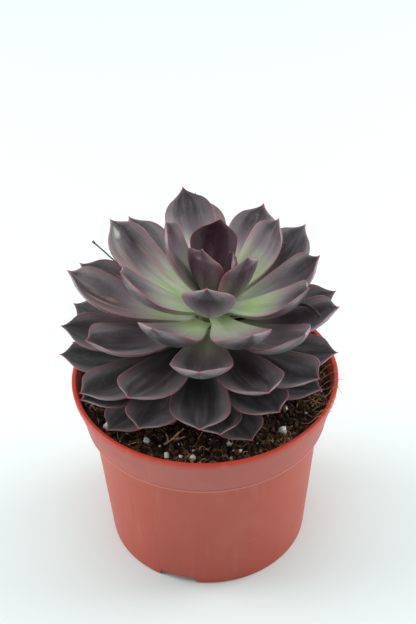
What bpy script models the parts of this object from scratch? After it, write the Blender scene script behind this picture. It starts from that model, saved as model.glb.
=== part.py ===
"""A potted succulent: a turned plastic nursery pot, its soil, a leaning stem and a spiral rosette.

Metres, +Z up, origin at the middle of the foot that the pot stands on. Every leaf is its own object.
Leaves are numbered by age: leaf_01 is the youngest, at the crown, and the last one is the oldest, by the soil.
"""

import math

import bmesh
import bpy
from mathutils import Matrix, Vector
from mathutils.bvhtree import BVHTree

# Clearance kept between solids that touch
GAP = 0.0003

# Points on a turned profile's axis this close together become one
MERGE = 0.00001

# A cutter is this many times as deep as what it cuts through
CUTTER_DEPTH = 3

# Pot
POT_HEIGHT = 0.078
RIM_RADIUS = 0.0525
RIM_WIDTH = 0.0020
RIM_DEPTH = 0.0022
RIM_EDGE = 0.0004
COLLAR_HEIGHT = 0.0186
COLLAR_RADIUS = 0.0481
BODY_TOP_RADIUS = 0.0455
FOOT_RADIUS = 0.0406
WALL = 0.0013
FLOOR_HEIGHT = 0.0036
FLOOR_THICKNESS = 0.0015
FOOT_WIDTH = 0.0030
POT_SEGMENTS = 64

# Drainage: notches through the foot, and holes in the floor behind them
NOTCH_COUNT = 3
NOTCH_FIRST = 251.0
NOTCH_WIDTH = 0.0155
NOTCH_HEIGHT = 0.0029
DRAIN_RADIUS = 0.0040
DRAIN_CIRCLE = 0.0300
CUTTER_SEGMENTS = 20

# Soil
SOIL_BELOW_RIM = 0.0050
SOIL_MOUND = 0.0030
SOIL_RINGS = 5

# Stem, which leans as it rises
CROWN_HEIGHT = 0.1170
CROWN_OFFSET = Vector((0.0060, -0.0013))
LEAN = Vector((0.306, 0.0))
STEM_RADIUS = 0.0049
STEM_TIP_RADIUS = 0.0015
STEM_TAPER_AGE = 14
STEM_RING_AGES = (0, 2, 5, 9, STEM_TAPER_AGE)
STEM_DEPTH = 0.0180
STEM_SEGMENTS = 20

# Rosette: where each leaf grows, by age
LEAF_COUNT = 54
DIVERGENCE = -137.95
FIRST_AZIMUTH = 2.0
AGE_STEP = 0.00066
SETTLE_STEP = 0.5

# How the leaves change with age: (age, value), with straight lines between
LENGTH_BY_AGE = ((0, 19), (1, 24), (2, 28), (4, 35), (6, 39), (8, 42), (12, 46), (18, 48), (30, 48), (53, 43))
ELEVATION_BY_AGE = ((0, 79), (1, 77), (2, 68), (3, 66), (4, 60), (5, 53), (8, 36), (12, 32), (16, 26),
                    (20, 22), (26, 11), (32, 5), (53, 4))
WIDTH_BY_AGE = ((0, 12), (1, 14.5), (2, 16.5), (4, 18), (8, 20.5), (20, 22.5), (32, 22), (53, 19))
THICKNESS_BY_AGE = ((0, 2.6), (8, 3.6), (20, 3.6), (32, 2.9), (53, 2.4))
CURL_BY_AGE = ((0, 36), (4, 46), (6, 54), (17, 56), (23, 38), (53, 28))
CUP_BY_AGE = ((0, 0.30), (22, 0.28), (32, 0.20), (53, 0.16))

# Leaves that grew a little off the spiral: age -> (azimuth, elevation in degrees, length in millimetres)
STRAY_LEAVES = {
    1: (0, 1, 1), 2: (-2, 0, 0), 3: (1, -3, 0), 4: (-2, 6, 1), 5: (-3, -4, -1), 6: (9, 1, 0), 7: (-8, 4, 3),
    8: (-6, -5, -3), 9: (1, 6, -2), 10: (-2, -2, -1), 11: (2, -4, 0), 12: (0, 0, 2), 13: (-1, 1, -5),
    14: (10, 3, -3), 15: (3, 2, 2), 16: (-3, -2, 0), 17: (0, 0, 4), 18: (1, 1, 1), 19: (4, -2, 0), 20: (3, 2, 3),
    21: (0, 0, -1), 22: (2, -1, -1), 24: (2, -3, 1), 25: (0, 4, 3), 26: (-1, -2, -1), 27: (1, -1, 0),
    29: (-1, -1, 0), 30: (-2, 2, 1), 32: (0, -2, 0), 34: (-3, -3, -1), 35: (-1, -3, 1), 37: (5, 5, 0),
    38: (-4, 9, 3), 42: (1, -1, 2), 43: (-4, 6, 2), 45: (5, 2, 0), 48: (-6, 4, 2), 50: (-9, -5, -1),
    53: (-25, -6, -2),
}

# Leaves redden less as they age, and have their oldest colour from this age on
OLD_COLOUR_AGE = 20

# Dried flower stalks, cut short: points (outward from the stem's axis, degrees round it, height)
STALK_RADIUS = 0.0006
STALK_KNOB = 1.7
STALK_LEFT = ((0.0100, 157, 0.1055), (0.0240, 153, 0.1105), (0.0380, 150, 0.1165), (0.0515, 150, 0.1250))
STALK_RIGHT = ((0.0095, 342, 0.1070), (0.0220, 343, 0.1125), (0.0330, 341, 0.1185), (0.0390, 338, 0.1200),
               (0.0440, 334, 0.1185))

# Shape of a leaf, as shares of its length or its half width unless a unit is given
LEAF_AROUND = 8
LEAF_ALONG = 10
FOOT_SHARE = 0.32
WIDEST_AT = 0.68
FOOT_POWER = 1.6
SHOULDER_POWER = 4.0
TIP_POWER = 1.35
CURL_POWER = 2.2
CUP_POWER = 1.7
FOOT_THICKNESS = 0.0015
TIP_THICKNESS = 0.0010
UPPER_SHARE = 0.30
BODY_POWER = 0.75
SPINE_STEPS = 40


def by_age(table, age):
    """The value of a growth table at this age."""
    for (age_a, value_a), (age_b, value_b) in zip(table, table[1:]):
        if age <= age_b:
            return value_a + (value_b - value_a) * (age - age_a) / (age_b - age_a)
    return table[-1][1]


def make_material(name, colour, roughness, metallic=0.0):
    material = bpy.data.materials.new(name)
    material.use_nodes = True
    shader = material.node_tree.nodes["Principled BSDF"]
    shader.inputs["Base Color"].default_value = (*colour, 1.0)
    shader.inputs["Roughness"].default_value = roughness
    shader.inputs["Metallic"].default_value = metallic
    return material


def make_object(name, mesh, collection, material=None):
    obj = bpy.data.objects.new(name, mesh)
    collection.objects.link(obj)
    if material:
        mesh.materials.append(material)
    return obj


def mesh_from(name, bm):
    mesh = bpy.data.meshes.new(name)
    bm.to_mesh(mesh)
    bm.free()
    return mesh


def turned(name, profile, collection, material=None, segments=POT_SEGMENTS):
    """Turns a profile of (radius, height) points, which runs down its outer side, about Z."""
    bm = bmesh.new()
    verts = [bm.verts.new((radius, 0.0, height)) for radius, height in profile]
    for a, b in zip(verts, verts[1:]):
        bm.edges.new((a, b))
    obj = make_object(name, mesh_from(name, bm), collection, material)
    screw = obj.modifiers.new("Turn", "SCREW")
    screw.steps = segments
    screw.render_steps = segments
    screw.use_merge_vertices = True
    screw.merge_threshold = MERGE
    return obj


def cut(obj, cutter):
    boolean = obj.modifiers.new("Cut " + cutter.name, "BOOLEAN")
    boolean.operation = "DIFFERENCE"
    boolean.solver = "EXACT"
    boolean.object = cutter


def as_cutter(obj):
    obj.hide_render = True
    obj.display_type = "WIRE"
    return obj


# The pot's inner wall, from which the soil also takes its shape

def collar_ledge():
    return POT_HEIGHT - COLLAR_HEIGHT


def inner_wall():
    """Points (radius, height) up the inside of the pot, from the edge of its floor to under the rim."""
    floor_top = FLOOR_HEIGHT + FLOOR_THICKNESS
    rise = floor_top / collar_ledge()
    floor_radius = FOOT_RADIUS + (BODY_TOP_RADIUS - FOOT_RADIUS) * rise - WALL
    ledge = collar_ledge() + WALL
    return [
        (floor_radius, floor_top),
        (BODY_TOP_RADIUS - WALL, ledge),
        (COLLAR_RADIUS - WALL, ledge),
        (RIM_RADIUS - RIM_WIDTH - RIM_EDGE, POT_HEIGHT - RIM_DEPTH),
    ]


def make_pot(parts, cutters):
    rim_inner = RIM_RADIUS - RIM_WIDTH
    profile = [(0.0, FLOOR_HEIGHT + FLOOR_THICKNESS)]
    profile += inner_wall()
    profile += [
        (rim_inner, POT_HEIGHT - RIM_DEPTH + RIM_EDGE),
        (rim_inner, POT_HEIGHT - RIM_EDGE),
        (rim_inner + RIM_EDGE, POT_HEIGHT),
        (RIM_RADIUS - RIM_EDGE, POT_HEIGHT),
        (RIM_RADIUS, POT_HEIGHT - RIM_EDGE),
        (RIM_RADIUS - RIM_EDGE / 2, POT_HEIGHT - RIM_DEPTH),
        (COLLAR_RADIUS, collar_ledge() + RIM_EDGE),
        (COLLAR_RADIUS - RIM_EDGE, collar_ledge()),
        (BODY_TOP_RADIUS, collar_ledge()),
        (FOOT_RADIUS, RIM_EDGE),
        (FOOT_RADIUS - RIM_EDGE, 0.0),
        (FOOT_RADIUS - FOOT_WIDTH, 0.0),
        (FOOT_RADIUS - FOOT_WIDTH - RIM_EDGE, FLOOR_HEIGHT),
        (0.0, FLOOR_HEIGHT),
    ]
    colour = make_material("terracotta_plastic", (0.43, 0.10, 0.07), 0.45)
    pot = turned("pot", profile, parts, colour)
    angles = [math.radians(NOTCH_FIRST + index * 360.0 / NOTCH_COUNT) for index in range(NOTCH_COUNT)]
    for index, angle in enumerate(angles):
        notch = bmesh.new()
        bmesh.ops.create_cube(notch, size=1.0)
        bmesh.ops.scale(notch, verts=notch.verts, vec=(FOOT_WIDTH * CUTTER_DEPTH, NOTCH_WIDTH, NOTCH_HEIGHT * 2))
        notch_cutter = as_cutter(make_object(f"notch_{index + 1}", mesh_from("notch", notch), cutters))
        notch_cutter.location = (FOOT_RADIUS * math.cos(angle), FOOT_RADIUS * math.sin(angle), 0.0)
        notch_cutter.rotation_euler.z = angle
        cut(pot, notch_cutter)
    places = [(0.0, 0.0)] + [(DRAIN_CIRCLE * math.cos(angle), DRAIN_CIRCLE * math.sin(angle)) for angle in angles]
    for index, (x, y) in enumerate(places):
        hole = bmesh.new()
        bmesh.ops.create_cone(
            hole, cap_ends=True, segments=CUTTER_SEGMENTS,
            radius1=DRAIN_RADIUS, radius2=DRAIN_RADIUS, depth=FLOOR_THICKNESS * CUTTER_DEPTH,
        )
        hole_cutter = as_cutter(make_object(f"drain_{index + 1}", mesh_from("drain", hole), cutters))
        hole_cutter.location = (x, y, FLOOR_HEIGHT + FLOOR_THICKNESS / 2)
        cut(pot, hole_cutter)
    return pot


# Stem and soil

def stem_radius(age):
    """The stem's radius where a leaf of this age grows: it tapers to the crown."""
    share = min(1.0, age / STEM_TAPER_AGE)
    return STEM_TIP_RADIUS + (STEM_RADIUS - STEM_TIP_RADIUS) * math.sin(share * math.pi / 2)


def leaf_height(age):
    return CROWN_HEIGHT - AGE_STEP * age


def stem_axis(height):
    """Where the leaning stem's axis is at this height."""
    return CROWN_OFFSET + LEAN * (height - CROWN_HEIGHT)


def soil_edge():
    return POT_HEIGHT - SOIL_BELOW_RIM


def stem_profile(clearance=0.0):
    """The stem's outline from its tip down, grown by the clearance."""
    foot = soil_edge() - STEM_DEPTH - clearance
    points = [(0.0, CROWN_HEIGHT + STEM_TIP_RADIUS / 2)]
    points += [(stem_radius(age) + clearance, leaf_height(age)) for age in (*STEM_RING_AGES, LEAF_COUNT)]
    points += [(STEM_RADIUS + clearance, soil_edge()), (STEM_RADIUS + clearance, foot), (0.0, foot)]
    return points


def make_leaning(name, profile, collection, material=None):
    """A turned shape sheared so that its axis follows the leaning stem's."""
    upright = turned(name + "_upright", profile, collection, None, STEM_SEGMENTS)
    depsgraph = bpy.context.evaluated_depsgraph_get()
    mesh = bpy.data.meshes.new_from_object(upright.evaluated_get(depsgraph))
    bpy.data.objects.remove(upright)
    shear = Matrix.Identity(4)
    shear[0][2], shear[1][2] = LEAN
    shear[0][3], shear[1][3] = stem_axis(0.0)
    mesh.transform(shear)
    mesh.materials.clear()
    return make_object(name, mesh, collection, material)


def make_stem(parts):
    colour = make_material("stem_green", (0.16, 0.20, 0.08), 0.6)
    return make_leaning("stem", stem_profile(), parts, colour)


def make_soil(parts, cutters):
    wall = inner_wall()
    floor_radius, floor_top = wall[0]
    top = soil_edge()
    under_rim_radius, under_rim = wall[3]
    ledge_radius, ledge = wall[2]
    edge_radius = ledge_radius + (under_rim_radius - ledge_radius) * (top - ledge) / (under_rim - ledge)
    profile = []
    for ring in range(SOIL_RINGS + 1):
        share = ring / SOIL_RINGS
        rise = SOIL_MOUND * math.cos(share * math.pi / 2) ** 2
        profile.append(((edge_radius - GAP) * share, top + rise))
    profile += [
        (ledge_radius - GAP, ledge + GAP),
        (wall[1][0] - GAP, ledge + GAP),
        (floor_radius - GAP, floor_top + GAP),
        (0.0, floor_top + GAP),
    ]
    colour = make_material("potting_soil", (0.035, 0.022, 0.015), 0.95)
    soil = turned("soil", profile, parts, colour)
    socket = as_cutter(make_leaning("stem_socket", stem_profile(GAP), cutters))
    cut(soil, socket)
    return soil


# Leaves

def leaf_outline(s):
    """Half width at the share s of the length, as a share of the greatest: a narrow foot, a broad end, a point."""
    if s < WIDEST_AT:
        rise = math.sin(math.pi / 2 * s / WIDEST_AT) ** FOOT_POWER
        return FOOT_SHARE + (1 - FOOT_SHARE) * rise
    beyond = (s - WIDEST_AT) / (1 - WIDEST_AT)
    return max(0.0, 1 - beyond ** SHOULDER_POWER) ** TIP_POWER


def leaf_thickness(s, thickest):
    body = math.sin(math.pi * s ** BODY_POWER)
    ends = FOOT_THICKNESS + (TIP_THICKNESS - FOOT_THICKNESS) * s
    return ends + (thickest - ends) * body


def leaf_spine(s, curl):
    """Point and heading at the share s of a spine of unit chord along +X that curls up by curl in all."""
    def heading(t):
        return curl * t ** CURL_POWER

    def walk(end):
        x = z = 0.0
        for step in range(SPINE_STEPS):
            t = end * (step + 0.5) / SPINE_STEPS
            x += math.cos(heading(t)) * end / SPINE_STEPS
            z += math.sin(heading(t)) * end / SPINE_STEPS
        return x, z

    full_x, full_z = walk(1.0)
    chord, turn = math.hypot(full_x, full_z), math.atan2(full_z, full_x)
    x, z = walk(s)
    point = Matrix.Rotation(-turn, 2) @ Vector((x, z)) / chord
    return point, heading(s) - turn


def leaf_wish(age):
    """Azimuth, elevation and length that a leaf of this age would have with nothing in its way."""
    stray_azimuth, stray_elevation, stray_length = STRAY_LEAVES.get(age, (0, 0, 0))
    azimuth = FIRST_AZIMUTH + DIVERGENCE * age + stray_azimuth
    elevation = by_age(ELEVATION_BY_AGE, age) + stray_elevation
    length = (by_age(LENGTH_BY_AGE, age) + stray_length) / 1000
    return math.radians(azimuth), math.radians(elevation), length


def leaf_place(age):
    """Turns a leaf to its azimuth and puts its foot on the stem."""
    azimuth = leaf_wish(age)[0]
    height = leaf_height(age)
    outward = Vector((math.cos(azimuth), math.sin(azimuth)))
    foot = stem_axis(height) + outward * (stem_radius(age) + GAP)
    return Matrix.Translation((foot.x, foot.y, height)) @ Matrix.Rotation(azimuth, 4, "Z")


def leaf_shape(age, elevation, clearance=0.0):
    """A sphere drawn out into a leaf along +X, which may be grown by a clearance all round."""
    length = leaf_wish(age)[2]
    half_width = by_age(WIDTH_BY_AGE, age) / 2000
    curl = math.radians(by_age(CURL_BY_AGE, age))
    thickest = by_age(THICKNESS_BY_AGE, age) / 1000
    cup = by_age(CUP_BY_AGE, age)
    bm = bmesh.new()
    bmesh.ops.create_uvsphere(bm, u_segments=LEAF_AROUND, v_segments=LEAF_ALONG, radius=1.0)
    for vert in bm.verts:
        across, upward, z = vert.co
        s = (z + 1) / 2
        ring_radius = math.hypot(across, upward)
        on_pole = ring_radius < 0.001
        across, upward = (0.0, 0.0) if on_pole else (across / ring_radius, upward / ring_radius)
        point, heading = leaf_spine(s, curl)
        half = half_width * leaf_outline(s) + clearance
        lift = cup * half * abs(across) ** CUP_POWER
        depth = leaf_thickness(s, thickest) * (UPPER_SHARE if upward > 0 else 1 - UPPER_SHARE) + clearance
        along = Matrix.Rotation(elevation, 2) @ point * length
        heading += elevation
        spot = along + Vector((-math.sin(heading), math.cos(heading))) * (lift + depth * upward)
        vert.co = (spot.x, half * across, spot.y)
    return bm


def settled_elevation(age, younger):
    """Lowers a leaf from the elevation it would have until it lies clear of the younger leaves above it."""
    elevation = leaf_wish(age)[1]
    while True:
        bm = leaf_shape(age, elevation, GAP)
        bm.transform(leaf_place(age))
        tree = BVHTree.FromBMesh(bm)
        bm.free()
        if not any(tree.overlap(other) for other in younger):
            return elevation
        elevation -= math.radians(SETTLE_STEP)


def make_leaf(age, parts, younger):
    elevation = settled_elevation(age, younger)
    bm = leaf_shape(age, elevation)
    name = f"leaf_{age + 1:02d}"
    leaf = make_object(name, mesh_from(name, bm.copy()), parts, leaf_material(age))
    leaf.matrix_world = leaf_place(age)
    leaf.data.shade_smooth()
    bm.transform(leaf_place(age))
    younger.append(BVHTree.FromBMesh(bm))
    bm.free()


def leaf_material(age):
    """Young leaves are dark purple, old ones a greyer plum."""
    share = min(1.0, age / OLD_COLOUR_AGE)
    young, old = Vector((0.10, 0.035, 0.055)), Vector((0.075, 0.060, 0.062))
    return make_material(f"leaf_skin_{age + 1:02d}", young.lerp(old, share), 0.5)


def make_stalk(name, route, parts, material):
    """A thin dry stalk along a smooth curve, with a small knob where it broke."""
    curve = bpy.data.curves.new(name, "CURVE")
    curve.dimensions = "3D"
    curve.bevel_depth = STALK_RADIUS
    curve.bevel_resolution = 1
    curve.use_fill_caps = True
    curve.resolution_u = 4
    spline = curve.splines.new("BEZIER")
    spline.bezier_points.add(len(route) - 1)
    for point, (outward, azimuth, height) in zip(spline.bezier_points, route):
        angle = math.radians(azimuth)
        centre = stem_axis(route[0][2])
        point.co = (centre.x + outward * math.cos(angle), centre.y + outward * math.sin(angle), height)
        point.handle_left_type = point.handle_right_type = "AUTO"
    spline.bezier_points[-1].radius = STALK_KNOB
    make_object(name, curve, parts, material)


def main():
    for obj in list(bpy.data.objects):
        bpy.data.objects.remove(obj)
    parts = bpy.data.collections.new("potted_succulent")
    cutters = bpy.data.collections.new("cutters")
    bpy.context.scene.collection.children.link(parts)
    bpy.context.scene.collection.children.link(cutters)
    make_pot(parts, cutters)
    make_soil(parts, cutters)
    make_stem(parts)
    younger = []
    for age in range(LEAF_COUNT):
        make_leaf(age, parts, younger)
    dry = make_material("dry_stalk", (0.10, 0.07, 0.05), 0.8)
    make_stalk("flower_stalk_left", STALK_LEFT, parts, dry)
    make_stalk("flower_stalk_right", STALK_RIGHT, parts, dry)


main()
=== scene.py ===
import math
import random

import bmesh
import bpy
import numpy as np
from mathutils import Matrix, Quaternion, Vector, noise


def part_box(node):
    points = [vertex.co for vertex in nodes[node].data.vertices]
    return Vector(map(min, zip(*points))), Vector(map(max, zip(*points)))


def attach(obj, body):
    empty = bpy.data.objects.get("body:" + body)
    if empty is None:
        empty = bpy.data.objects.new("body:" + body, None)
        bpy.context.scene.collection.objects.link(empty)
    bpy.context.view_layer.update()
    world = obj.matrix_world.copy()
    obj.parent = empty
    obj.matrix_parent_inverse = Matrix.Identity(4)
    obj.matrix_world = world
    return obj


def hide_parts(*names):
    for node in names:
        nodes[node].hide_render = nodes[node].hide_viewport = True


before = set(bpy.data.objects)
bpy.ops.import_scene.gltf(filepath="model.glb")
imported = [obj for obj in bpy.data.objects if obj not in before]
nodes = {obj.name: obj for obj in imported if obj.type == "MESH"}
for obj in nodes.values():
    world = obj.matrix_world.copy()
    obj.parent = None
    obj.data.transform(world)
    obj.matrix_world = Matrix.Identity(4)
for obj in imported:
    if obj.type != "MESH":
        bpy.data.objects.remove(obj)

# noise_vector's offsets come from the clock unless a seed is given
noise.seed_set(7)
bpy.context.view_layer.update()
leafNames = sorted(name for name in nodes if name.startswith("leaf_"))

mergeWithin = 0.00001

# In the dictionaries below, sizes are in metres, angles in degrees, and colours run from 0 to 255


# Small helpers for working as by hand

def tone(red, green, blue):
    # a colour as a paint chart gives it, made linear
    def linear(value):
        share = value / 255
        return share / 12.92 if share <= 0.04045 else ((share + 0.055) / 1.055) ** 2.4
    return (linear(red), linear(green), linear(blue), 1.0)


def tones(chart):
    return {name: tone(*colour) for name, colour in chart.items()}


def takeUp(obj):
    # leaves this object alone selected and active
    if bpy.context.mode != "OBJECT":
        bpy.ops.object.mode_set(mode="OBJECT")
    bpy.ops.object.select_all(action="DESELECT")
    obj.select_set(True)
    bpy.context.view_layer.objects.active = obj


def applyModifiers(obj):
    takeUp(obj)
    for modifier in list(obj.modifiers):
        bpy.ops.object.modifier_apply(modifier=modifier.name)


def finishPiece(obj, name, material, replaced):
    obj.name = name
    obj.data.materials.clear()
    obj.data.materials.append(material)
    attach(obj, "root")
    if replaced:
        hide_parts(*replaced)


# Shader maths: a wire is one output socket, and Python's operators add Math nodes

class Wire:
    def __init__(self, paint, socket):
        self.paint = paint
        self.socket = socket

    def maths(self, operation, *others):
        sockets = {0: self}
        sockets.update({index + 1: value for index, value in enumerate(others)})
        return self.paint.node("ShaderNodeMath", {"operation": operation}, sockets)

    def __add__(self, other):
        return self.maths("ADD", other)

    def __sub__(self, other):
        return self.maths("SUBTRACT", other)

    def __mul__(self, other):
        return self.maths("MULTIPLY", other)

    def __rsub__(self, other):
        return self.paint.node("ShaderNodeMath", {"operation": "SUBTRACT"}, {0: other, 1: self})

    __radd__ = __add__
    __rmul__ = __mul__

    def fade(self, start, end):
        # 0 at start, 1 at end, eased between
        sockets = {"Value": self, "From Min": start, "From Max": end}
        return self.paint.node("ShaderNodeMapRange", {"interpolation_type": "SMOOTHSTEP"}, sockets)


class Paint:
    def __init__(self, name):
        self.material = bpy.data.materials.new(name)
        self.material.use_nodes = True
        self.tree = self.material.node_tree
        self.shader = self.tree.nodes["Principled BSDF"]

    def node(self, kind, settings=None, sockets=None, output=0):
        made = self.tree.nodes.new(kind)
        for key, value in (settings or {}).items():
            setattr(made, key, value)
        for key, value in (sockets or {}).items():
            self.join(value, made.inputs[key])
        return Wire(self, made.outputs[output])

    def join(self, value, socket):
        if isinstance(value, Wire):
            self.tree.links.new(value.socket, socket)
        else:
            socket.default_value = value

    def set(self, **sockets):
        for key, value in sockets.items():
            self.join(value, self.shader.inputs[key.replace("_", " ")])

    def mix(self, factor, first, second):
        # the sockets by number are the ones for colours
        settings = {"data_type": "RGBA", "blend_type": "MIX", "clamp_factor": True}
        return self.node("ShaderNodeMix", settings, {0: factor, 6: first, 7: second}, 2)

    def place(self):
        return self.node("ShaderNodeTexCoord", None, None, "Object")

    def stretch(self, vector, scale):
        return self.node("ShaderNodeMapping", None, {"Vector": vector, "Scale": scale})

    def attribute(self, name):
        return self.node("ShaderNodeAttribute", {"attribute_name": name}, None, "Fac")

    def pack(self, x, y, z):
        return self.node("ShaderNodeCombineXYZ", None, {0: x, 1: y, 2: z})

    def noise(self, vector, scale, detail):
        sockets = {"Vector": vector, "Scale": scale, "Detail": detail, "Roughness": 0.55}
        return self.node("ShaderNodeTexNoise", None, sockets, "Fac")

    def bump(self, height, distance, strength):
        sockets = {"Height": height, "Distance": distance, "Strength": strength}
        return self.node("ShaderNodeBump", None, sockets)


# Camera, stage and light

camera = {
    "distance": 0.4939, "aimHeight": 0.1079, "pitch": 37.89, "yaw": 0.26, "roll": -1.34,
    "lens": 75.0, "sensor": 36.0, "farthest": 20,
}


def makeCamera():
    pitch, yaw = math.radians(camera["pitch"]), math.radians(camera["yaw"])
    aim = Vector((0, 0, camera["aimHeight"]))
    away = Vector((0, -math.cos(pitch), math.sin(pitch)))
    ahead = Vector((math.sin(yaw) * math.cos(pitch), math.cos(yaw) * math.cos(pitch), -math.sin(pitch)))
    bpy.ops.object.camera_add(location=aim + away * camera["distance"])
    view = bpy.context.object
    roll = Quaternion((0, 0, 1), math.radians(camera["roll"]))
    view.rotation_mode = "QUATERNION"
    view.rotation_quaternion = ahead.to_track_quat("-Z", "Y") @ roll
    view.data.lens = camera["lens"]
    view.data.sensor_width = camera["sensor"]
    view.data.clip_end = camera["farthest"]
    bpy.context.scene.camera = view


stage = {
    "floorSize": 6.0, "floorColour": (231, 241, 239), "floorRoughness": 0.9,
    "worldColour": (234, 245, 248), "worldStrength": 0.50, "lightsAimAt": (0, 0, 0.08),
    # name, place, width and power
    "lights": (
        ("overhead", (-0.05, 0.08, 1.6), 1.7, 11.3),
        ("leftSoft", (-1.0, 0.15, 0.5), 0.8, 7.6),
        ("rightSoft", (1.0, 0.25, 0.5), 0.8, 7.8),
    ),
}


def makeLight(name, location, size, power):
    bpy.ops.object.light_add(type="AREA", location=location)
    light = bpy.context.object
    light.name = name
    light.data.shape = "DISK"
    light.data.size = size
    light.data.energy = power
    aim = Vector(stage["lightsAimAt"]) - Vector(location)
    light.rotation_mode = "QUATERNION"
    light.rotation_quaternion = aim.to_track_quat("-Z", "Y")


def makeStage():
    bpy.ops.object.select_all(action="DESELECT")
    bpy.ops.mesh.primitive_plane_add(size=stage["floorSize"])
    floor = bpy.context.object
    floor.name = "floor"
    paint = Paint("floorPaint")
    paint.set(Base_Color=tone(*stage["floorColour"]), Roughness=stage["floorRoughness"])
    floor.data.materials.append(paint.material)
    world = bpy.data.worlds.new("studio")
    bpy.context.scene.world = world
    world.use_nodes = True
    background = world.node_tree.nodes["Background"]
    background.inputs["Color"].default_value = tone(*stage["worldColour"])
    background.inputs["Strength"].default_value = stage["worldStrength"]
    for light in stage["lights"]:
        makeLight(*light)
    bpy.context.scene.view_settings.view_transform = "Standard"
    print("stage and light are up")


# Leaves: each is drawn over its CAD leaf, ring by ring, then smoothed through the same points

leaf = {
    "around": 8, "along": 10, "levels": 3, "marginCrease": 0.35, "tipCrease": 0.8, "fitRounds": 6,
    "mergeWithin": 0.000002,
    "channel": 0.00045, "channelWidth": 0.17, "rim": 0.00028, "rimAt": 0.93, "rimWidth": 0.05,
    "fold": 0.0014, "foldScale": (1.7, 0.9, 3.1), "warp": 0.0006, "warpScale": 35.0,
    "ripple": 0.0004, "rippleScale": 120.0,
    "neckAt": 0.88, "neckBand": 0.012, "pointLength": 0.0042, "pointPower": 0.45, "pointOut": 0.0012,
    # for single leaves, by age: how coppery, (along, across) of a pale stain, wider by, bowed sideways by
    "coppery": {12: 0.4, 17: 1.0, 25: 0.8},
    "stains": {12: (0.90, 0.1)}, "stainSize": 0.30,
    "widened": {1: 1.28, 2: 1.06},
    "bowed": {1: -0.0008, 2: 0.0022, 3: -0.0006},
}


def traceLeaf(name, stemPoints):
    # the CAD leaf's foot, rings and tip, read from a merged copy of its mesh
    bm = bmesh.new()
    bm.from_mesh(nodes[name].data)
    bmesh.ops.remove_doubles(bm, verts=bm.verts, dist=leaf["mergeWithin"])
    bm.verts.ensure_lookup_table()
    points = [v.co.copy() for v in bm.verts]
    linked = [{edge.other_vert(v).index for edge in v.link_edges} for v in bm.verts]
    bm.free()
    spread = np.array(points)
    gaps = np.linalg.norm(spread[:, None] - spread[None], axis=2)
    ends = [int(index) for index in np.unravel_index(int(gaps.argmax()), gaps.shape)]
    ends.sort(key=lambda index: float(np.linalg.norm(stemPoints - spread[index], axis=1).min()))
    foot, tip = ends
    rings, seen, current = [], {foot}, {foot}
    while True:
        current = set().union(*(linked[index] for index in current)) - seen
        if not current:
            break
        seen |= current
        rings.append(sorted(current))
    outward = (points[tip] - points[foot]) * Vector((1, 1, 0))
    sideways = Vector((0, 0, 1)).cross(outward).normalized()
    middles = [sum((points[index] for index in ring), Vector()) / len(ring) for ring in rings]
    ordered = []      # a ring has a corner at each margin, three above and three below
    for number, ring in enumerate(rings[:-1]):
        before = middles[number - 1] if number else points[foot]
        upward = (middles[number + 1] - before).normalized().cross(sideways)
        rank = sorted(ring, key=lambda index: -points[index].dot(sideways))
        pairs = [sorted(rank[start:start + 2], key=lambda index: -points[index].dot(upward))
                 for start in (1, 3, 5)]
        upper, lower = [pair[0] for pair in pairs], [pair[1] for pair in pairs]
        ordered.append([points[index] for index in [rank[0], *upper, rank[7], *reversed(lower)]])
    return points[foot], ordered, points[tip]


def addAttribute(mesh, name, values):
    attribute = mesh.attributes.new(name, "FLOAT", "POINT")
    attribute.data.foreach_set("value", np.asarray(values, np.float32))


def readAttribute(mesh, name):
    values = np.zeros(len(mesh.vertices), np.float32)
    mesh.attributes[name].data.foreach_get("value", values)
    return values


def readPoints(mesh):
    points = np.zeros(len(mesh.vertices) * 3)
    mesh.vertices.foreach_get("co", points)
    return points.reshape(-1, 3)


def writePoints(mesh, points):
    mesh.vertices.foreach_set("co", np.asarray(points, np.float32).ravel())
    mesh.update()


def fitCage(piece, targets):
    # moves the cage until its smoothed surface passes through the targets
    for _ in range(leaf["fitRounds"]):
        graph = bpy.context.evaluated_depsgraph_get()
        smoothed = piece.evaluated_get(graph)
        reached = readPoints(smoothed.to_mesh())[:len(targets)]
        smoothed.to_mesh_clear()
        writePoints(piece.data, readPoints(piece.data) + targets - reached)


def drift(point, scale, salt=0.0):
    # a smooth wandering vector, the same for all that lies close together
    return noise.noise_vector(point * scale + Vector((salt, salt * 0.7, -salt)))


def reshapeRings(rings, foot, tip, age):
    # widens a leaf about its middle line, and bows it sideways
    sideways = Vector((0, 0, 1)).cross((tip - foot) * Vector((1, 1, 0))).normalized()
    reshaped = []
    for number, ring in enumerate(rings):
        middle = sum(ring, Vector()) / len(ring)
        arch = math.sin(math.pi * (number + 1) / (len(rings) + 1))
        shift = sideways * leaf["bowed"].get(age, 0) * arch
        reshaped.append([middle + (point - middle) * leaf["widened"].get(age, 1) + shift for point in ring])
    return reshaped


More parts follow.
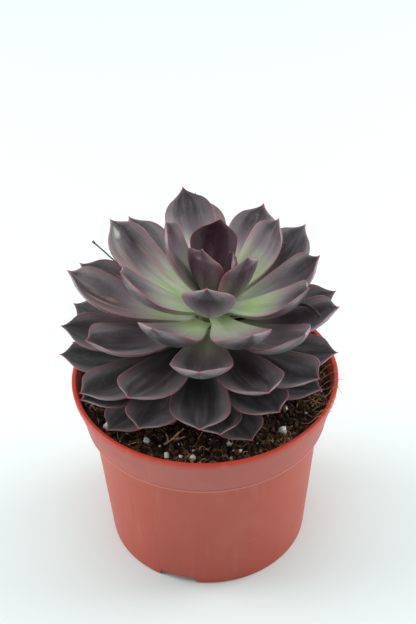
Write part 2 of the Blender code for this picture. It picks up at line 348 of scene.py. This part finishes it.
def drawLeaf(name, stemPoints):
    age = int(name[-2:]) - 1
    foot, rings, tip = traceLeaf(name, stemPoints)
    rings = reshapeRings(rings, foot, tip, age)
    bpy.ops.object.select_all(action="DESELECT")
    bpy.ops.mesh.primitive_uv_sphere_add(segments=leaf["around"], ring_count=leaf["along"], radius=1)
    piece = bpy.context.object
    mesh = piece.data
    targets, along, across, upper, margin = [], [], [], [], set()
    for vertex in mesh.vertices:
        x, y, z = vertex.co
        ring = round(math.acos(max(-1, min(1, -z))) / math.pi * leaf["along"])
        turn = round(math.atan2(y, x) / math.tau * leaf["around"]) % leaf["around"]
        onPole = ring in (0, leaf["along"])
        targets.append(foot if ring == 0 else tip if ring == leaf["along"] else rings[ring - 1][turn])
        along.append((z + 1) / 2)
        across.append(0 if onPole else math.cos(math.tau * turn / leaf["around"]))
        upper.append(0 if onPole else math.sin(math.tau * turn / leaf["around"]))
        if not onPole and turn % (leaf["around"] // 2) == 0:
            margin.add(vertex.index)
    addAttribute(mesh, "along", along)
    addAttribute(mesh, "across", across)
    addAttribute(mesh, "upper", upper)
    creases = [leaf["marginCrease"] if set(edge.vertices) <= margin else 0 for edge in mesh.edges]
    mesh.attributes.new("crease_edge", "FLOAT", "EDGE").data.foreach_set("value", creases)
    tips = [leaf["tipCrease"] if value > 0.999 else 0 for value in along]
    mesh.attributes.new("crease_vert", "FLOAT", "POINT").data.foreach_set("value", tips)
    targets = np.array(targets)
    writePoints(mesh, targets)
    smooth = piece.modifiers.new("Smooth", "SUBSURF")
    smooth.use_limit_surface = True
    smooth.levels = smooth.render_levels = 1
    fitCage(piece, targets)
    smooth.levels = smooth.render_levels = leaf["levels"]
    applyModifiers(piece)
    sculptLeaf(piece.data, age)
    takeUp(piece)
    bpy.ops.object.shade_smooth()
    return piece


def pinchTip(points, along):
    # draws the end of the leaf in towards its middle line, and out into a short hard point
    tip = points[along.argmax()]
    neck = points[np.abs(along - leaf["neckAt"]) < leaf["neckBand"]].mean(axis=0)
    ahead = (tip - neck) / np.linalg.norm(tip - neck)
    behind = (tip - points) @ ahead
    share = np.clip(behind / leaf["pointLength"], 0, 1)
    near = (share < 1) & (along > leaf["neckAt"])
    aside = points - tip + behind[:, None] * ahead
    narrowed = tip - behind[:, None] * ahead + aside * (share ** leaf["pointPower"])[:, None]
    drawn = narrowed + ahead * (leaf["pointOut"] * (1 - share) ** 2)[:, None]
    return np.where(near[:, None], drawn, points)


def sculptLeaf(mesh, age):
    points = readPoints(mesh)
    normals = np.zeros(len(mesh.vertices) * 3, np.float32)
    mesh.vertex_normals.foreach_get("vector", normals)
    normals = normals.reshape(-1, 3)
    along, across, upper = (readAttribute(mesh, key) for key in ("along", "across", "upper"))
    top = np.clip(upper * 2, 0, 1)
    body = np.sin(np.pi * np.clip(along, 0, 1))
    channel = -leaf["channel"] * np.exp(-(across / leaf["channelWidth"]) ** 2) * body * top
    rim = leaf["rim"] * np.exp(-((np.abs(across) - leaf["rimAt"]) / leaf["rimWidth"]) ** 2) * body * top
    wide, long, apart = leaf["foldScale"]
    folds = [noise.noise(Vector((a * wide, b * long, age * apart))) for a, b in zip(across, along)]
    fold = leaf["fold"] * np.array(folds) * body * top * np.clip(1.15 - np.abs(across), 0, 1)
    points = points + normals * (channel + rim + fold)[:, None]
    moved = [drift(Vector(point), leaf["warpScale"]) * leaf["warp"] for point in points]
    fine = [drift(Vector(point), leaf["rippleScale"], age) * leaf["ripple"] for point in points]
    share = (along ** 2 * np.abs(across))[:, None]
    points = points + np.array(moved) + np.array(fine) * share
    writePoints(mesh, pinchTip(points, along))
    addAttribute(mesh, "age", np.full(len(points), age / len(leafNames)))
    addAttribute(mesh, "tint", np.full(len(points), random.Random(age).random()))
    spotAlong, spotAcross = leaf["stains"].get(age, (9, 9))      # too far off to show
    distance = np.hypot((along - spotAlong) * 4, across - spotAcross) / leaf["stainSize"]
    addAttribute(mesh, "stain", np.exp(-distance ** 2) * top)
    addAttribute(mesh, "copper", top * leaf["coppery"].get(age, 0))


# the grey of the wax bloom is also used as a painted highlight along the leaf margins
leafSkin = {
    "bud": (74, 42, 56), "young": (58, 44, 50), "old": (60, 55, 56), "mauve": (176, 156, 166),
    "bloomAndSheen": (174, 169, 172), "green": (206, 232, 166), "pale": (236, 240, 228), "copper": (186, 132, 116),
    "line": (182, 68, 84), "budTip": (206, 128, 92), "oldTip": (204, 76, 90),
}


def leafPaint():
    paint = Paint("leafSkin")
    along, across, upper = (paint.attribute(key) for key in ("along", "across", "upper"))
    age, tint = paint.attribute("age"), paint.attribute("tint")
    colour = tones(leafSkin)
    place = paint.place()
    cloud = paint.noise(place, 75, 4)
    fine = paint.noise(place, 700, 3)
    streaks = paint.noise(paint.pack(across * 3, along * 1.4, tint * 9), 1.5, 4)
    hairs = paint.noise(paint.pack(across * 4, along * 0.7, tint * 5), 11, 3)
    edge = across.maths("ABSOLUTE")
    onTop = upper.fade(-0.1, 0.25)

    # the dark skin, lighter where the wax is thick, towards the margins and in long streaks; the lightening
    # along the margins is also a painted highlight
    dark = paint.mix(age.fade(0.03, 0.12), colour["bud"], colour["young"])
    dark = paint.mix(age.fade(0.28, 0.6), dark, colour["old"])
    # the margin term is partly thick wax and partly a painted highlight along the margins
    waxAndMarginSheen = edge.fade(0.3, 1.0) * 0.36 + streaks.fade(0.42, 0.8) * 0.24 + fine.fade(0.5, 0.8) * 0.10
    waxAndMarginSheen = waxAndMarginSheen * (1.05 + age.fade(0.07, 0.14) * (1 - age.fade(0.36, 0.5)) * 0.35)
    waxAndMarginSheen = (waxAndMarginSheen + cloud.fade(0.45, 0.75) * 0.14) * (0.4 + along.fade(0.15, 0.7) * 0.6)
    waxAndMarginSheen = waxAndMarginSheen * (0.55 + age.fade(0.0, 0.12) * 0.45)
    skin = paint.mix(waxAndMarginSheen, dark, colour["bloomAndSheen"])

    # a mauve stretch, then a pale green foot, on the leaves of middle age: the leaves' own colours, made
    # paler in part as a painted highlight
    middling = age.fade(0.055, 0.11) * (1 - age.fade(0.34, 0.5))
    reach = 0.72 - age * 0.9
    spot = along + streaks * 0.22 - 0.11 + cloud * 0.08
    mauveShare = (1 - spot.fade(reach - 0.1, reach + 0.3)) * middling * 0.72
    skin = paint.mix(mauveShare, skin, colour["mauve"])
    greenShare = (1 - spot.fade(reach - 0.32, reach + 0.13)) * middling
    green = paint.mix(cloud.fade(0.35, 0.65), colour["green"], colour["pale"])
    skin = paint.mix(greenShare * (0.55 + onTop * 0.45), skin, green)

    # coppery streaks on the leaves that face the light on the left
    copper = paint.attribute("copper") * streaks.fade(0.48, 0.62) * along.fade(0.15, 0.35)
    skin = paint.mix(copper * (1 - along.fade(0.7, 0.9)) * 0.7, skin, colour["copper"])

    # crimson margins, a blush beside them, and a hard coloured point
    blush = edge.fade(0.66, 1.0) * 0.30 * along.fade(0.15, 0.6)
    skin = paint.mix(blush, skin, colour["line"])
    line = edge.fade(0.962, 0.99) * along.fade(0.08, 0.35) * (0.55 + streaks * 0.4)
    skin = paint.mix(line, skin, colour["line"])
    point = paint.mix(age.fade(0.05, 0.12), colour["budTip"], colour["oldTip"])
    skin = paint.mix(along.fade(0.968, 0.99), skin, point)
    stain = paint.attribute("stain") * (0.3 + cloud * 0.9)
    skin = paint.mix(stain.fade(0.3, 0.62) * 0.55, skin, colour["pale"])
    dust = fine.fade(0.71, 0.76) * cloud.fade(0.5, 0.6) * 0.35
    skin = paint.mix(dust, skin, colour["pale"])
    paint.set(
        Base_Color=skin,
        Roughness=0.28 + cloud * 0.16 + fine * 0.12,
        Normal=paint.bump(streaks * 0.5 + hairs * 0.12 + cloud * 0.4 + fine * 0.05, 0.0011, 0.5),
        Coat_Weight=0.3,
        Coat_Roughness=0.32,
        Sheen_Weight=0.12,
        Sheen_Roughness=0.35,
        Sheen_Tint=tone(214, 222, 232),
        Subsurface_Weight=0.05,
        Subsurface_Scale=0.003,
        Specular_IOR_Level=0.5,
    )
    paint.shader.inputs["Subsurface Radius"].default_value = (1.0, 0.5, 0.4)
    return paint.material


def makeLeaves():
    stemPoints = readPoints(nodes["stem"].data)
    skin = leafPaint()
    for name in leafNames:
        piece = drawLeaf(name, stemPoints)
        finishPiece(piece, "leafSkin" + name[-2:], skin, [name])
    print("leaves are drawn:", len(leafNames))


# Pot

pot = {
    "collarHeight": 0.0186, "collarRadius": 0.0481, "bodyTop": 0.0455, "footRadius": 0.0406, "wall": 0.0013,
    "rimWidth": 0.0020, "rimDepth": 0.0022, "edge": 0.0004, "floorHeight": 0.0036, "floorThickness": 0.0015,
    "footWidth": 0.0030, "steps": 256, "bevel": 0.00018,
    "notches": 3, "firstNotch": 251.0, "notchWidth": 0.0155, "notchHeight": 0.0029,
    "drainRadius": 0.0040, "drainCircle": 0.0300, "drainSteps": 48, "drainDepth": 0.01,
    "bevelPast": 25, "smoothUnder": 35,
}


def turnProfile(name, profile, steps):
    # one point is extruded along the profile, and the line is spun about the upright axis
    bpy.ops.object.select_all(action="DESELECT")
    bpy.ops.mesh.primitive_plane_add(size=0.001, location=(0, 0, 0))
    turned = bpy.context.object
    turned.name = name
    bpy.ops.object.mode_set(mode="EDIT")
    bpy.ops.mesh.select_all(action="SELECT")
    bpy.ops.mesh.merge(type="CENTER")
    start = Vector((profile[0][0], 0, profile[0][1]))
    bpy.ops.transform.translate(value=start)
    for (radiusA, heightA), (radiusB, heightB) in zip(profile, profile[1:]):
        step = (radiusB - radiusA, 0, heightB - heightA)
        bpy.ops.mesh.extrude_region_move(TRANSFORM_OT_translate={"value": step})
    bpy.ops.mesh.select_all(action="SELECT")
    bpy.ops.mesh.spin(steps=steps, angle=math.tau, center=(0, 0, 0), axis=(0, 0, 1))
    bpy.ops.mesh.select_all(action="SELECT")
    bpy.ops.mesh.remove_doubles(threshold=mergeWithin)
    bpy.ops.mesh.normals_make_consistent(inside=False)
    bpy.ops.object.mode_set(mode="OBJECT")
    return turned


def cutWith(obj, cutter):
    cut = obj.modifiers.new("Cut", "BOOLEAN")
    cut.operation = "DIFFERENCE"
    cut.solver = "EXACT"
    cut.object = cutter
    applyModifiers(obj)
    bpy.data.objects.remove(cutter)


def makePot():
    rim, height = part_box("pot")[1].x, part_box("pot")[1].z
    inner = rim - pot["rimWidth"]
    ledge = height - pot["collarHeight"]
    rimFoot = height - pot["rimDepth"]
    collar, body, foot = pot["collarRadius"], pot["bodyTop"], pot["footRadius"]
    edge, wall = pot["edge"], pot["wall"]
    floorTop = pot["floorHeight"] + pot["floorThickness"]
    floorRadius = foot + (body - foot) * floorTop / ledge - wall
    # (radius, height) from the middle of the floor, up the inside, over the rim and down to the foot
    profile = [
        (0, floorTop), (floorRadius, floorTop), (body - wall, ledge + wall),
        (collar - wall, ledge + wall), (inner - edge, rimFoot),
        (inner, rimFoot + edge), (inner, height - edge), (inner + edge, height),
        (rim - edge, height), (rim, height - edge), (rim - edge * 0.5, rimFoot),
        (rim - edge * 1.6, rimFoot - edge),
        (collar + edge * 0.4, ledge + edge * 4), (collar + edge * 0.9, ledge + edge * 3),
        (collar + edge * 0.5, ledge + edge), (collar - edge, ledge),
        (body + edge, ledge), (body, ledge - edge),
        (foot + edge * 0.4, edge * 5), (foot, edge), (foot - edge, 0),
        (foot - pot["footWidth"], 0), (foot - pot["footWidth"] - edge, pot["floorHeight"]),
        (0, pot["floorHeight"]),
    ]
    shell = turnProfile("potShell", profile, pot["steps"])
    notchTurns = [pot["firstNotch"] + number * 360 / pot["notches"] for number in range(pot["notches"])]
    for degrees in notchTurns:
        angle = math.radians(degrees)
        turnOut = Vector((math.cos(angle), math.sin(angle), 0))
        bpy.ops.object.select_all(action="DESELECT")
        bpy.ops.mesh.primitive_cube_add(size=1, location=turnOut * foot, rotation=(0, 0, angle))
        cutter = bpy.context.object
        cutter.scale = (pot["footWidth"] * 3, pot["notchWidth"], pot["notchHeight"] * 2)
        cutWith(shell, cutter)
    for distance, degrees in [(0, 0)] + [(pot["drainCircle"], degrees) for degrees in notchTurns]:
        angle = math.radians(degrees)
        place = (distance * math.cos(angle), distance * math.sin(angle), pot["floorHeight"])
        bpy.ops.object.select_all(action="DESELECT")
        bpy.ops.mesh.primitive_cylinder_add(
            vertices=pot["drainSteps"], radius=pot["drainRadius"], depth=pot["drainDepth"], location=place)
        cutWith(shell, bpy.context.object)
    rounded = shell.modifiers.new("Rounded", "BEVEL")
    rounded.width = pot["bevel"]
    rounded.segments = 2
    rounded.limit_method = "ANGLE"
    rounded.angle_limit = math.radians(pot["bevelPast"])
    applyModifiers(shell)
    takeUp(shell)
    bpy.ops.object.shade_smooth_by_angle(angle=math.radians(pot["smoothUnder"]))
    finishPiece(shell, "potShell", potPaint(ledge, height), ["pot"])
    print("pot is turned")


potSkin = {
    "bodyLow": (178, 74, 56), "bodyHigh": (186, 83, 64), "collarLow": (184, 95, 85),
    "collarHigh": (180, 87, 75), "ledgeLine": (226, 152, 136), "scuff": (224, 160, 146),
    "lip": (202, 66, 46), "worn": (226, 172, 160), "dust": (214, 140, 124),
}


def potPaint(ledge, height):
    paint = Paint("pottedPlastic")
    colour = tones(potSkin)
    place = paint.place()
    split = paint.node("ShaderNodeSeparateXYZ", None, {0: place}, 2)
    cloud = paint.noise(place, 28, 3)
    speck = paint.noise(place, 900, 2)
    streaks = paint.noise(paint.stretch(place, (1, 1, 0.06)), 260, 3)
    rise = split.fade(0.0, ledge)
    body = paint.mix(rise, colour["bodyLow"], colour["bodyHigh"])
    collar = paint.mix(split.fade(ledge, height), colour["collarLow"], colour["collarHigh"])
    skin = paint.mix(split.fade(ledge - 0.0003, ledge + 0.0003), body, collar)
    ledgeLine = split.fade(ledge + 0.0006, ledge + 0.0010) * (1 - split.fade(ledge + 0.0011, ledge + 0.0015))
    skin = paint.mix(ledgeLine * 0.45, skin, colour["ledgeLine"])
    scuffs = paint.noise(paint.stretch(place, (0.35, 0.35, 2.6)), 190, 4)
    skin = paint.mix(scuffs.fade(0.66, 0.74) * cloud.fade(0.45, 0.65) * 0.22, skin, colour["scuff"])
    lip = paint.mix(split.fade(height - 0.0016, height - 0.0002), skin, colour["lip"])
    worn = paint.mix(streaks.fade(0.58, 0.72) * 0.07, lip, colour["worn"])
    dusty = paint.mix(cloud.fade(0.5, 0.75) * 0.14, worn, colour["dust"])
    paint.set(
        Base_Color=dusty,
        Roughness=0.36 + cloud * 0.18 + streaks * 0.08,
        Normal=paint.bump(speck * 0.5 + streaks * 0.3 + cloud, 0.00025, 0.35),
        Subsurface_Weight=0.12,
        Subsurface_Scale=0.004,
        Specular_IOR_Level=0.4,
    )
    return paint.material


# Soil and what lies on it

soil = {
    "belowRim": 0.0050, "mound": 0.0030, "steps": 360, "rings": 110, "inner": 0.006, "clod": 0.0020,
    "footGap": 0.0006, "wallGap": 0.0004, "topDepth": 0.0045,
    "dark": (26, 18, 14), "light": (62, 44, 32), "fleck": (150, 108, 76),
}
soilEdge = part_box("soil")[1].x
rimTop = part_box("pot")[1].z


def soilHeight(x, y):
    # the bed's height: a low mound with clods on it
    radius = math.hypot(x, y)
    share = min(1, radius / soilEdge)
    top = rimTop - soil["belowRim"] + soil["mound"] * math.cos(share * math.pi / 2) ** 2
    spot = Vector((x, y, 0))
    lumps = noise.noise(spot * 95) * 0.8 + abs(noise.noise(spot * 230 + Vector((3, 1, 2)))) * 1.3
    grain = abs(noise.noise(spot * 560)) * 0.8 + noise.noise(spot * 1300) * 0.35
    return top + soil["clod"] * (lumps + grain) * 0.75 - soil["clod"] * 0.45


def soilPaint(name, dark, light):
    paint = Paint(name)
    place = paint.place()
    lumps = paint.noise(place, 260, 4)
    grain = paint.noise(place, 1500, 3)
    colour = paint.mix(lumps.fade(0.3, 0.7), tone(*dark), tone(*light))
    flecked = paint.mix(grain.fade(0.62, 0.72) * 0.5, colour, tone(*soil["fleck"]))
    paint.set(Base_Color=flecked, Roughness=0.95, Normal=paint.bump(lumps + grain * 0.6, 0.0006, 0.9),
              Specular_IOR_Level=0.25)
    return paint.material


def makeSoil():
    low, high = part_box("soil")
    edge = high.x
    wallFoot = pot["footRadius"] - pot["wall"] - soil["footGap"]
    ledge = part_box("pot")[1].z - pot["collarHeight"]
    gap = soil["wallGap"]
    count = soil["rings"]
    profile = [(0, soilHeight(0, 0))]
    profile += [(soil["inner"] + (edge - soil["inner"]) * ring / count, high.z) for ring in range(count + 1)]
    profile += [
        (pot["collarRadius"] - pot["wall"] - gap, ledge + pot["wall"] + gap),
        (pot["bodyTop"] - pot["wall"] - gap, ledge + pot["wall"] + gap),
        (wallFoot, low.z), (0, low.z),
    ]
    bed = turnProfile("soilBed", profile, soil["steps"])
    points = readPoints(bed.data)
    isTop = points[:, 2] > high.z - soil["topDepth"]
    for index in np.nonzero(isTop)[0]:
        x, y, _ = points[index]
        points[index][2] = soilHeight(x, y)
    writePoints(bed.data, points)
    takeUp(bed)
    bpy.ops.object.shade_smooth()
    finishPiece(bed, "soilBed", soilPaint("peat", soil["dark"], soil["light"]), ["soil"])
    print("soil is laid")


def scatterSpots(count, seed, inside, outside):
    # places evenly spread over a ring, and the dice that go on from there
    dice = random.Random(seed)
    spots = []
    while len(spots) < count:
        radius = math.sqrt(dice.uniform(inside ** 2, outside ** 2))
        angle = dice.uniform(0, math.tau)
        spots.append((radius * math.cos(angle), radius * math.sin(angle)))
    return spots, dice


def stoneTemplate(subdivisions, roughness, seed):
    bpy.ops.object.select_all(action="DESELECT")
    bpy.ops.mesh.primitive_ico_sphere_add(subdivisions=subdivisions, radius=1)
    template = bpy.context.object
    salt = Vector((seed, seed * 2.1, seed * 0.7))
    points = readPoints(template.data)
    points = np.array([Vector(p) * (1 + roughness * noise.noise(Vector(p) * 1.7 + salt)) for p in points])
    faces = [tuple(face.vertices) for face in template.data.polygons]
    bpy.data.objects.remove(template)
    return points, faces


def gather(name, stones):
    # many small stones as one mesh: each is a template, a place, a size and a turn
    allPoints, allFaces, start = [], [], 0
    for (points, faces), place, size, turn in stones:
        shaped = points * np.array(size) @ np.array(turn.to_matrix()).T + np.array(place)
        allPoints.append(shaped)
        allFaces += [tuple(index + start for index in face) for face in faces]
        start += len(points)
    mesh = bpy.data.meshes.new(name)
    mesh.from_pydata(np.concatenate(allPoints), [], allFaces)
    mesh.shade_smooth()
    gathered = bpy.data.objects.new(name, mesh)
    bpy.context.scene.collection.objects.link(gathered)
    return gathered


def randomTurn(dice):
    return Quaternion([dice.gauss(0, 1) for _ in range(4)]).normalized()


crumb = {
    "count": 3600, "seed": 11, "inside": 0.018, "edgeGap": 0.0012, "shapes": 6, "lumpiness": 0.7,
    "smallest": 0.0003, "range": 0.0014, "rarity": 2.5, "raised": 0.3,
    "dark": (26, 18, 14), "light": (102, 72, 50),
}


def makeCrumbs():
    templates = [stoneTemplate(1, crumb["lumpiness"], seed) for seed in range(crumb["shapes"])]
    spots, dice = scatterSpots(crumb["count"], crumb["seed"], crumb["inside"], soilEdge - crumb["edgeGap"])
    stones = []
    for x, y in spots:
        size = crumb["smallest"] + crumb["range"] * dice.random() ** crumb["rarity"]
        shape = (size, size * dice.uniform(0.6, 1), size * dice.uniform(0.5, 0.9))
        place = (x, y, soilHeight(x, y) + size * crumb["raised"])
        stones.append((dice.choice(templates), place, shape, randomTurn(dice)))
    crumbs = gather("soilCrumbs", stones)
    material = soilPaint("crumb", crumb["dark"], crumb["light"])
    finishPiece(crumbs, "soilCrumbs", material, None)
    print("crumbs are scattered")


perlite = {
    "count": 84, "seed": 5, "inside": 0.030, "edgeGap": 0.002, "shapes": 5, "lumpiness": 0.55,
    "smallest": 0.0003, "range": 0.0009, "rarity": 3, "raised": 0.55, "squash": (1, 0.85, 0.75),
    "dark": (216, 206, 196), "light": (250, 247, 242),
    # the largest white grains: (x, y, radius)
    "grains": ((-0.0372, -0.0262, 0.0021), (-0.0225, -0.0335, 0.0016), (0.0288, -0.0300, 0.0019),
               (-0.0100, -0.0440, 0.0012), (-0.0052, -0.0436, 0.0013), (-0.0150, -0.0424, 0.0011),
               (0.0090, -0.0436, 0.0008), (0.0450, -0.0080, 0.0010), (-0.0440, -0.0120, 0.0010)),
}


def makePerlite():
    templates = [stoneTemplate(2, perlite["lumpiness"], seed + 20) for seed in range(perlite["shapes"])]
    spots, dice = scatterSpots(
        perlite["count"], perlite["seed"], perlite["inside"], soilEdge - perlite["edgeGap"])
    stones = []
    sized = [(*spot, perlite["smallest"] + perlite["range"] * dice.random() ** perlite["rarity"])
             for spot in spots]
    for x, y, size in sized + list(perlite["grains"]):
        place = (x, y, soilHeight(x, y) + size * perlite["raised"])
        shape = tuple(size * share for share in perlite["squash"])
        stones.append((dice.choice(templates), place, shape, randomTurn(dice)))
    grains = gather("perliteGrains", stones)
    paint = Paint("perlite")
    place = paint.place()
    pores = paint.noise(place, 1300, 3)
    colour = paint.mix(pores.fade(0.35, 0.65), tone(*perlite["dark"]), tone(*perlite["light"]))
    paint.set(Base_Color=colour, Roughness=0.85, Normal=paint.bump(pores, 0.0003, 0.8))
    finishPiece(grains, "perliteGrains", paint.material, None)
    print("perlite is scattered")


fibre = {
    "count": 420, "seed": 23, "inside": 0.026, "edgeGap": 0.001, "turnGap": 0.0006, "turnBy": 0.985,
    "radius": 0.00016, "raised": 0.0005, "steps": (5, 9), "rise": 0.0022, "stride": (0.0004, 0.0011),
    "bend": 0.7, "dark": (66, 43, 30), "light": (214, 168, 122),
    # where fibres lie thickly: (x, y, spread, how many)
    "tufts": ((0.0450, -0.0130, 0.0030, 60), (0.0310, -0.0360, 0.0030, 45), (-0.0450, -0.0080, 0.0030, 30),
              (-0.0060, -0.0440, 0.0030, 25), (0.0420, 0.0200, 0.0040, 30)),
}


def makeFibres():
    outside = soilEdge - fibre["edgeGap"]
    spots, dice = scatterSpots(fibre["count"], fibre["seed"], fibre["inside"], outside)
    curve = bpy.data.curves.new("peatFibres", "CURVE")
    curve.dimensions = "3D"
    curve.bevel_depth = fibre["radius"]
    curve.bevel_resolution = 0
    curve.use_fill_caps = True
    for x, y, spread, count in fibre["tufts"]:
        spots += [(x + dice.gauss(0, spread), y + dice.gauss(0, spread)) for _ in range(count)]
    for x, y in spots:
        reach = min(1, outside / math.hypot(x, y))
        x, y = x * reach, y * reach
        spline = curve.splines.new("POLY")
        steps = dice.randint(*fibre["steps"])
        spline.points.add(steps - 1)
        heading = dice.uniform(0, math.tau)
        rise = dice.uniform(0.0, fibre["rise"])
        stride = dice.uniform(*fibre["stride"])
        bend = dice.uniform(-fibre["bend"], fibre["bend"])
        for step, point in enumerate(spline.points):
            lift = rise * math.sin(step / steps * math.pi)
            point.co = (x, y, soilHeight(x, y) + fibre["raised"] + lift, 1)
            point.radius = dice.uniform(0.6, 1.5) * (1 - 0.5 * step / steps)
            heading += bend * dice.uniform(0.2, 1)
            x += math.cos(heading) * stride
            y += math.sin(heading) * stride
            if math.hypot(x, y) > soilEdge - fibre["turnGap"]:
                x, y = x * fibre["turnBy"], y * fibre["turnBy"]
    fibres = bpy.data.objects.new("peatFibres", curve)
    bpy.context.scene.collection.objects.link(fibres)
    takeUp(fibres)
    bpy.ops.object.convert(target="MESH")
    fibres = bpy.context.object
    paint = Paint("fibre")
    shade = paint.noise(paint.place(), 300, 2)
    colour = paint.mix(shade.fade(0.42, 0.72), tone(*fibre["dark"]), tone(*fibre["light"]))
    paint.set(Base_Color=colour, Roughness=0.85)
    finishPiece(fibres, "peatFibres", paint.material, None)
    print("fibres are strewn")


litter = {
    # lines over the soil: (radius, ((x, y, height above the soil), ...))
    "twig": (
        (0.00048, ((-0.0160, -0.0362, 0.0014), (-0.0132, -0.0345, 0.0022), (-0.0108, -0.0332, 0.0026),
                   (-0.0086, -0.0312, 0.0030))),
        (0.00040, ((-0.0126, -0.0342, 0.0022), (-0.0102, -0.0350, 0.0026), (-0.0078, -0.0340, 0.0022))),
        (0.00034, ((-0.0150, -0.0356, 0.0016), (-0.0146, -0.0334, 0.0024), (-0.0152, -0.0322, 0.0026))),
    ),
    # hairs that hang over the rim on the right, by angle, with their reach past it
    "hairs": ((-24, 0.0018), (-20, 0.0008), (-16, 0.0021), (-12, 0.0006), (-9, 0.0015), (-30, 0.0014),
              (-35, 0.0006), (-4, 0.0010), (2, 0.0012), (-27, 0.0020)),
    # a hair starts inside the rim and ends past it: (out from the rim, up from its top)
    "hairStart": ((-0.0075, -0.0045), (-0.0035, -0.0010), (-0.0008, 0.0009)), "hairEnd": 0.0006,
    "hairRadius": 0.00014, "hairSway": 2.5, "gnarl": 0.00012, "gnarlScale": 500,
    "dark": (150, 106, 72), "light": (232, 188, 140),
}


def drawLines(name, lines, material):
    curve = bpy.data.curves.new(name, "CURVE")
    curve.dimensions = "3D"
    curve.bevel_depth = 1.0
    curve.bevel_resolution = 2
    curve.resolution_u = 8
    curve.use_fill_caps = True
    for radius, route in lines:
        spline = curve.splines.new("BEZIER")
        spline.bezier_points.add(len(route) - 1)
        for index, (point, place) in enumerate(zip(spline.bezier_points, route)):
            point.co = place
            point.radius = radius * (1 - 0.5 * index / len(route))
            point.handle_left_type = point.handle_right_type = "AUTO"
    drawn = bpy.data.objects.new(name, curve)
    bpy.context.scene.collection.objects.link(drawn)
    takeUp(drawn)
    bpy.ops.object.convert(target="MESH")
    drawn = bpy.context.object
    points = readPoints(drawn.data)
    gnarls = [drift(Vector(point), litter["gnarlScale"]) * litter["gnarl"] for point in points]
    writePoints(drawn.data, points + np.array(gnarls))
    bpy.ops.object.shade_smooth()
    finishPiece(drawn, name, material, None)


def makeLitter():
    paint = Paint("dryWood")
    grain = paint.noise(paint.place(), 700, 3)
    colour = paint.mix(grain.fade(0.3, 0.7), tone(*litter["dark"]), tone(*litter["light"]))
    paint.set(Base_Color=colour, Roughness=0.85, Normal=paint.bump(grain, 0.0003, 0.7))
    twig = [(radius, [(x, y, soilHeight(x, y) + lift) for x, y, lift in route])
            for radius, route in litter["twig"]]
    drawLines("forkedTwig", twig, paint.material)
    dice = random.Random(3)
    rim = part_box("pot")[1].x
    hairs = []
    for degrees, reach in litter["hairs"]:
        route = []
        for past, rise in (*litter["hairStart"], (reach, litter["hairEnd"])):
            out = rim + past
            angle = math.radians(degrees + dice.uniform(-litter["hairSway"], litter["hairSway"]))
            route.append((out * math.cos(angle), out * math.sin(angle), rimTop + rise))
        hairs.append((litter["hairRadius"], route))
    drawLines("rimHairs", hairs, paint.material)
    print("twig and hairs are drawn")


# The stem keeps its CAD shape, and the dry stalks are drawn thinner along the same routes

stem = {"dark": (86, 96, 58), "light": (126, 132, 84), "roughness": 0.6}
gnarl = {"size": 0.00012, "scale": 420}
# a route is (outward, turn, height) from the stem's centre
stalks = {
    "flower_stalk_left": {
        "shades": ((66, 56, 54), (142, 124, 114)),
        "centre": (0.0025, -0.0013), "radii": (0.00048, 0.00040, 0.00030, 0.00034, 0.00062),
        "route": ((0.0100, 157, 0.1055), (0.0240, 153, 0.1105), (0.0380, 150, 0.1165), (0.0502, 150, 0.1242),
                  (0.0515, 150, 0.1250)),
    },
    "flower_stalk_right": {
        "shades": ((24, 18, 17), (72, 58, 52)),
        "centre": (0.0029, -0.0013), "radii": (0.00060, 0.00055, 0.00052, 0.00052, 0.00058, 0.00100),
        "route": ((0.0095, 342, 0.1070), (0.0220, 343, 0.1130), (0.0330, 341, 0.1196), (0.0390, 338, 0.1212),
                  (0.0428, 335, 0.1203), (0.0440, 334, 0.1198)),
    },
}


def makeStem():
    paint = Paint("stemBark")
    place = paint.place()
    grain = paint.noise(paint.stretch(place, (1, 1, 0.3)), 400, 3)
    colour = paint.mix(grain, tone(*stem["dark"]), tone(*stem["light"]))
    paint.set(Base_Color=colour, Roughness=stem["roughness"], Normal=paint.bump(grain, 0.0004, 0.6))
    nodes["stem"].data.materials.clear()
    nodes["stem"].data.materials.append(paint.material)
    print("stem is painted")


def makeStalks():
    for name, plan in stalks.items():
        paint = Paint(name + "_bark")
        ridges = paint.noise(paint.place(), 900, 3)
        dark, light = (tone(*shade) for shade in plan["shades"])
        paint.set(Base_Color=paint.mix(ridges.fade(0.3, 0.7), dark, light), Roughness=0.8,
                  Normal=paint.bump(ridges, 0.0003, 0.8))
        bpy.ops.object.select_all(action="DESELECT")
        bpy.ops.curve.primitive_bezier_curve_add()
        stalk = bpy.context.object
        curve = stalk.data
        curve.splines.clear()
        spline = curve.splines.new("BEZIER")
        spline.bezier_points.add(len(plan["route"]) - 1)
        corners = zip(spline.bezier_points, plan["route"], plan["radii"])
        for point, (outward, degrees, height), radius in corners:
            angle = math.radians(degrees)
            x, y = plan["centre"]
            point.co = (x + outward * math.cos(angle), y + outward * math.sin(angle), height)
            point.radius = radius
            point.handle_left_type = point.handle_right_type = "AUTO"
        curve.bevel_depth = 1.0
        curve.bevel_resolution = 4
        curve.resolution_u = 16
        curve.use_fill_caps = True
        takeUp(stalk)
        bpy.ops.object.convert(target="MESH")
        stalk = bpy.context.object
        points = readPoints(stalk.data)
        gnarls = [drift(Vector(point), gnarl["scale"]) * gnarl["size"] for point in points]
        writePoints(stalk.data, points + np.array(gnarls))
        bpy.ops.object.shade_smooth()
        finishPiece(stalk, name + "_dry", paint.material, [name])
    print("stalks are drawn")


makeCamera()
makeStage()
makePot()
makeSoil()
makeCrumbs()
makePerlite()
makeFibres()
makeLitter()
makeStem()
makeStalks()
makeLeaves()
